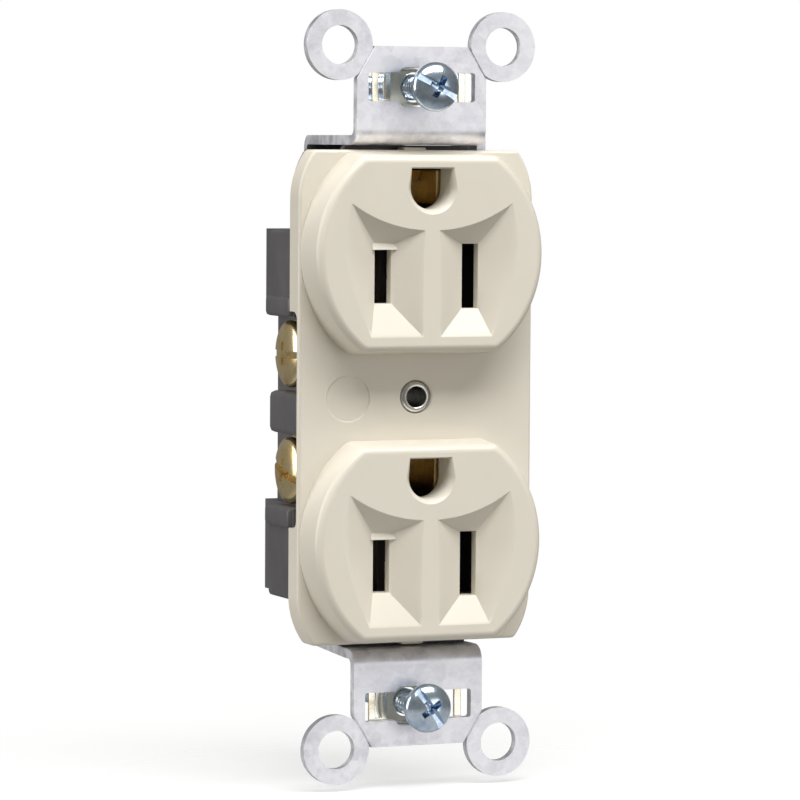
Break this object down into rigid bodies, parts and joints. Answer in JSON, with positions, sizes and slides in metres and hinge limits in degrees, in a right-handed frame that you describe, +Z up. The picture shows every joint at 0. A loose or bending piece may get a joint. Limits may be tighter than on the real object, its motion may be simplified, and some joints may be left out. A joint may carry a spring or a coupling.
{
  "type": "duplex wall outlet",
  "caption": "Duplex wall outlet with grounded three-slot faces, side terminals and a wraparound steel mounting strap with plaster ears.",
  "frame": {"origin": "centre of the wall plane, which is the rear face of the strap's two mounting plates, midway between the two mounting screws", "axes": "+Z up the wall with the grounding holes above their blade slots, +Y into the wall, -Y into the room, +X to the right seen from the room"},
  "size_m": [0.034, 0.0328, 0.1038],
  "materials": {
    "ivory_plastic": "satin moulded nylon",
    "dark_plastic": "matte moulded nylon",
    "galvanised_steel": "galvanised",
    "brass": "bright rolled brass",
    "nickel_plate": "nickel plated brass",
    "zinc_plate": "bright zinc plated steel",
    "steel": "plain bright steel",
    "green_plate": "green chromate over zinc",
    "fibre": "pale natural fibre"
  },
  "bodies": {
    "housing": {"front_cover": "ivory_plastic", "rear_body": "dark_plastic", "mounting_strap": "galvanised_steel", "grounding_clip_upper": "brass", "grounding_clip_lower": "brass", "centre_eyelet": "steel", "hot_bus": "brass", "neutral_bus": "nickel_plate", "ground_contact_upper": "brass", "ground_contact_lower": "brass", "ground_rivet_upper": "steel", "ground_rivet_lower": "steel", "assembly_screw_upper": "steel", "assembly_screw_lower": "steel"},
    "retaining_washer_upper": {"retaining_washer_upper": "fibre"},
    "mounting_screw_upper": {"mounting_screw_upper": "zinc_plate"},
    "retaining_washer_lower": {"retaining_washer_lower": "fibre"},
    "mounting_screw_lower": {"mounting_screw_lower": "zinc_plate"},
    "hot_clamp_upper": {"hot_clamp_upper": "brass"},
    "hot_screw_upper": {"hot_screw_upper": "brass"},
    "hot_clamp_lower": {"hot_clamp_lower": "brass"},
    "hot_screw_lower": {"hot_screw_lower": "brass"},
    "neutral_clamp_upper": {"neutral_clamp_upper": "nickel_plate"},
    "neutral_screw_upper": {"neutral_screw_upper": "nickel_plate"},
    "neutral_clamp_lower": {"neutral_clamp_lower": "nickel_plate"},
    "neutral_screw_lower": {"neutral_screw_lower": "nickel_plate"},
    "ground_clamp": {"ground_clamp": "steel"},
    "ground_screw": {"ground_screw": "green_plate"}
  },
  "joints": [
    {"name": "mounting_slide_upper", "type": "slide", "parent": "housing", "child": "retaining_washer_upper", "axis": [0, -1, 0], "range_m": [-0.004, 0.0003]},
    {"name": "mounting_turn_upper", "type": "hinge", "parent": "retaining_washer_upper", "child": "mounting_screw_upper", "pos_m": [0, 0, 0.04167], "axis": [0, -1, 0], "continuous": true},
    {"name": "mounting_slide_lower", "type": "slide", "parent": "housing", "child": "retaining_washer_lower", "axis": [0, -1, 0], "range_m": [-0.0027, 0.0016]},
    {"name": "mounting_turn_lower", "type": "hinge", "parent": "retaining_washer_lower", "child": "mounting_screw_lower", "pos_m": [0, 0, -0.04167], "axis": [0, -1, 0], "continuous": true},
    {"name": "hot_slide_upper", "type": "slide", "parent": "housing", "child": "hot_clamp_upper", "axis": [-1, 0, 0], "range_m": [-0.0004, 0.00238]},
    {"name": "hot_turn_upper", "type": "hinge", "parent": "hot_clamp_upper", "child": "hot_screw_upper", "pos_m": [-0.0143, 0.0086, 0.0056], "axis": [-1, 0, 0], "range_deg": [-180, 1080]},
    {"name": "hot_slide_lower", "type": "slide", "parent": "housing", "child": "hot_clamp_lower", "axis": [-1, 0, 0], "range_m": [-0.0004, 0.00238]},
    {"name": "hot_turn_lower", "type": "hinge", "parent": "hot_clamp_lower", "child": "hot_screw_lower", "pos_m": [-0.0143, 0.0086, -0.0102], "axis": [-1, 0, 0], "range_deg": [-180, 1080]},
    {"name": "neutral_slide_upper", "type": "slide", "parent": "housing", "child": "neutral_clamp_upper", "axis": [1, 0, 0], "range_m": [-0.0004, 0.00238]},
    {"name": "neutral_turn_upper", "type": "hinge", "parent": "neutral_clamp_upper", "child": "neutral_screw_upper", "pos_m": [0.0143, 0.0086, 0.0056], "axis": [1, 0, 0], "range_deg": [-180, 1080]},
    {"name": "neutral_slide_lower", "type": "slide", "parent": "housing", "child": "neutral_clamp_lower", "axis": [1, 0, 0], "range_m": [-0.0004, 0.00238]},
    {"name": "neutral_turn_lower", "type": "hinge", "parent": "neutral_clamp_lower", "child": "neutral_screw_lower", "pos_m": [0.0143, 0.0086, -0.0102], "axis": [1, 0, 0], "range_deg": [-180, 1080]},
    {"name": "ground_slide", "type": "slide", "parent": "housing", "child": "ground_clamp", "axis": [1, 0, 0], "range_m": [-0.0004, 0.00238]},
    {"name": "ground_turn", "type": "hinge", "parent": "ground_clamp", "child": "ground_screw", "pos_m": [0.0144, 0.0105, 0.0285], "axis": [1, 0, 0], "range_deg": [-180, 1080]}
  ],
  "couplings": [
    {"joint": "hot_turn_upper", "follows": "hot_slide_upper", "rad_per_m": 7915.8},
    {"joint": "hot_turn_lower", "follows": "hot_slide_lower", "rad_per_m": 7915.8},
    {"joint": "neutral_turn_upper", "follows": "neutral_slide_upper", "rad_per_m": 7915.8},
    {"joint": "neutral_turn_lower", "follows": "neutral_slide_lower", "rad_per_m": 7915.8},
    {"joint": "ground_turn", "follows": "ground_slide", "rad_per_m": 7915.8}
  ]
}
